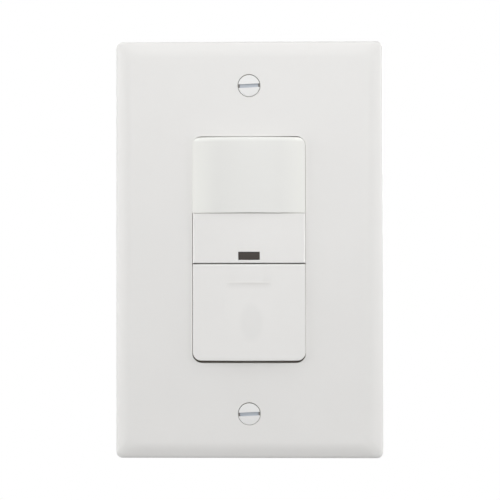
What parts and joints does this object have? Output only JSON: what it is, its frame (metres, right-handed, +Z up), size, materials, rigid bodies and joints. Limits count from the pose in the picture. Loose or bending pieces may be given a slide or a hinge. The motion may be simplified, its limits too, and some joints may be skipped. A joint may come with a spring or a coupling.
{
  "type": "motion sensor light switch",
  "caption": "White wall switch with a bowed motion-sensor lens over a hinged push button, on a steel strap with a rear housing, under a midsize wall plate.",
  "frame": {"origin": "centre of the wall plate's back rim, on the wall surface", "axes": "+X to the right in the front view, +Y into the wall, +Z up the wall"},
  "size_m": [0.0794, 0.0418, 0.1238],
  "materials": {
    "plate_white": "moulded white, satin gloss",
    "screw_white": "white enamel",
    "strap_steel": "zinc-plated sheet",
    "screw_steel": "zinc-plated",
    "retainer_fibre": "pressed fibre",
    "ground_green": "green lacquer",
    "cover_white": "moulded white, satin gloss",
    "lens_milky": "milky, slightly translucent",
    "window_smoke": "smoked, clear-moulded",
    "button_white": "moulded white, satin gloss",
    "spring_steel": "drawn wire",
    "plunger_black": "moulded",
    "switch_black": "moulded",
    "trimmer_blue": "moulded",
    "dial_white": "moulded",
    "board_green": "solder mask",
    "sensor_can": "nickel-plated can",
    "filter_dark": "coated filter",
    "led_red": "tinted",
    "light_sensor_clear": "clear-moulded",
    "chip_black": "moulded",
    "header_black": "moulded",
    "relay_blue": "moulded",
    "film_yellow": "moulded",
    "can_sleeve": "shrink sleeve",
    "varistor_blue": "dipped",
    "housing_grey": "moulded, fine texture",
    "contact_brass": "stamped",
    "clamp_steel": "zinc-plated",
    "terminal_brass": "machined",
    "terminal_nickel": "nickel-plated",
    "case_steel": "dark zinc"
  },
  "bodies": {
    "switch_body": {"wall_plate": "plate_white", "plate_screws": "screw_white", "mounting_strap": "strap_steel", "box_screws": "screw_steel", "screw_retainers": "retainer_fibre", "ground_screw": "ground_green", "front_cover": "cover_white", "sensor_lens": "lens_milky", "indicator_window": "window_smoke", "return_spring": "spring_steel", "switch_base": "switch_black", "trimmer_bases": "trimmer_blue", "control_board": "board_green", "infrared_sensor": "sensor_can", "sensor_filter": "filter_dark", "status_led": "led_red", "light_sensor": "light_sensor_clear", "control_chip": "chip_black", "board_header": "header_black", "power_board": "board_green", "relay": "relay_blue", "film_capacitor": "film_yellow", "reservoir_capacitor": "can_sleeve", "surge_varistor": "varistor_blue", "rear_housing": "housing_grey", "contact_strips": "contact_brass", "wire_clamps": "clamp_steel", "hot_screws": "terminal_brass", "neutral_screws": "terminal_nickel", "case_screws": "case_steel"},
    "button": {"push_button": "button_white"},
    "plunger": {"switch_plunger": "plunger_black"},
    "time_knob": {"time_dial": "dial_white"},
    "range_knob": {"range_dial": "dial_white"},
    "light_knob": {"light_dial": "dial_white"}
  },
  "joints": [
    {"name": "button_press", "type": "hinge", "parent": "switch_body", "child": "button", "pos_m": [0, -0.0039, -0.00797], "axis": [1, 0, 0], "range_deg": [0, 1.5], "stiffness_Nm_per_rad": 1.2, "springref_deg": -1.15, "deforming": ["return_spring"]},
    {"name": "plunger_travel", "type": "slide", "parent": "switch_body", "child": "plunger", "axis": [0, 1, 0], "range_m": [0, 0.0004]},
    {"name": "time_dial_turn", "type": "hinge", "parent": "switch_body", "child": "time_knob", "pos_m": [0, -0.0024, -0.0146], "axis": [0, -1, 0], "range_deg": [-130, 130]},
    {"name": "range_dial_turn", "type": "hinge", "parent": "switch_body", "child": "range_knob", "pos_m": [0.009, -0.0024, -0.0146], "axis": [0, -1, 0], "range_deg": [-130, 130]},
    {"name": "light_dial_turn", "type": "hinge", "parent": "switch_body", "child": "light_knob", "pos_m": [-0.009, -0.0024, -0.0146], "axis": [0, -1, 0], "range_deg": [-130, 130]}
  ],
  "couplings": [
    {"joint": "plunger_travel", "follows": "button_press", "m_per_rad": 0.014}
  ]
}
